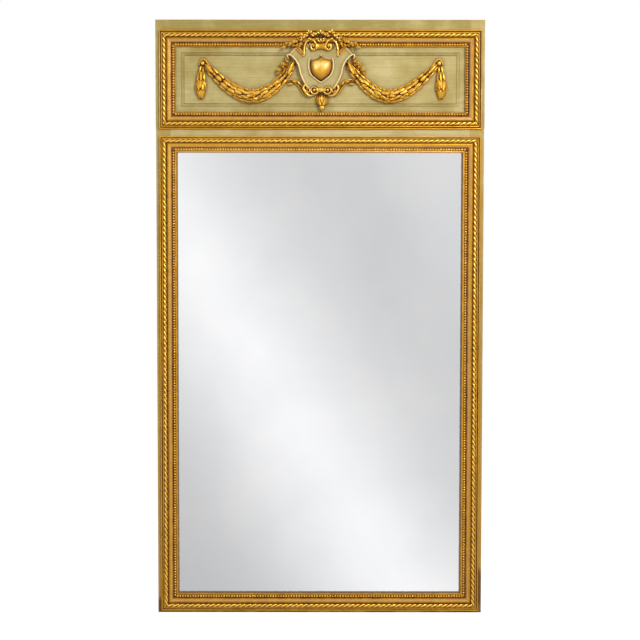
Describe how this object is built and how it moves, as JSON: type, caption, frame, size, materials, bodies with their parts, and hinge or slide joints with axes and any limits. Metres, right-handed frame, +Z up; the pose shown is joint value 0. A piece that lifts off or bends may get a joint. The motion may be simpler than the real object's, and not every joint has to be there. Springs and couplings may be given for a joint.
{
  "type": "pier mirror",
  "caption": "Tall pier mirror: a plate in a carved gilt and green painted frame, under a frieze panel with a cartouche, leaf garlands and drops.",
  "frame": {"origin": "middle of the foot, on the wall plane that the frame's back touches", "axes": "+Z up along the height, +Y into the wall, so the painted and gilt face looks along -Y, and +X to the right for a viewer in front of the mirror"},
  "size_m": [1.002, 0.0645, 1.816],
  "materials": {
    "painted_wood": "matt distemper paint, rubbed and dirty in the corners",
    "gilt_wood": "gold leaf over red-brown bole, rubbed on the edges",
    "bare_pine": "bare, darkened by age",
    "oak": "bare, darkened by age",
    "iron": "dull and spotted",
    "mirror_glass": "silvered behind, a little foxed"
  },
  "bodies": {
    "mirror_frame": {"stile_left": "painted_wood", "stile_right": "painted_wood", "top_rail": "painted_wood", "bottom_rail": "painted_wood", "frieze_stile_left": "painted_wood", "frieze_stile_right": "painted_wood", "frieze_top_rail": "painted_wood", "frieze_bottom_rail": "painted_wood", "frieze_panel": "painted_wood", "mirror_moulding_bottom": "gilt_wood", "mirror_moulding_right": "gilt_wood", "mirror_moulding_top": "gilt_wood", "mirror_moulding_left": "gilt_wood", "frieze_moulding_bottom": "gilt_wood", "frieze_moulding_right": "gilt_wood", "frieze_moulding_top": "gilt_wood", "frieze_moulding_left": "gilt_wood", "cartouche": "gilt_wood", "shield": "gilt_wood", "crest_flowers": "gilt_wood", "crest_spray_left": "gilt_wood", "crest_spray_right": "gilt_wood", "side_spray_left": "gilt_wood", "side_spray_right": "gilt_wood", "garland_left": "gilt_wood", "garland_right": "gilt_wood", "knot_left": "gilt_wood", "knot_right": "gilt_wood", "drop_left": "gilt_wood", "drop_right": "gilt_wood", "acanthus_left": "gilt_wood", "acanthus_right": "gilt_wood", "pendant_bud": "gilt_wood", "panel_blocks": "bare_pine", "setting_blocks": "bare_pine", "glazing_blocks": "bare_pine", "back_board_1": "bare_pine", "back_board_2": "bare_pine", "back_board_3": "bare_pine", "back_board_4": "bare_pine", "back_board_5": "bare_pine", "frame_pegs": "oak", "cleat_left": "oak", "cleat_right": "oak", "board_nails": "iron", "cleat_screws": "iron", "hanger_strap_left": "iron", "hanger_strap_right": "iron", "hanger_screws": "iron", "mirror_plate": "mirror_glass"},
    "ring_left": {"hanger_ring_left": "iron"},
    "ring_right": {"hanger_ring_right": "iron"}
  },
  "joints": [
    {"name": "ring_swing_left", "type": "hinge", "parent": "mirror_frame", "child": "ring_left", "pos_m": [-0.33, -0.0077, 1.793], "axis": [1, 0, 0], "range_deg": [0, 180]},
    {"name": "ring_swing_right", "type": "hinge", "parent": "mirror_frame", "child": "ring_right", "pos_m": [0.33, -0.0077, 1.793], "axis": [1, 0, 0], "range_deg": [0, 180]}
  ]
}
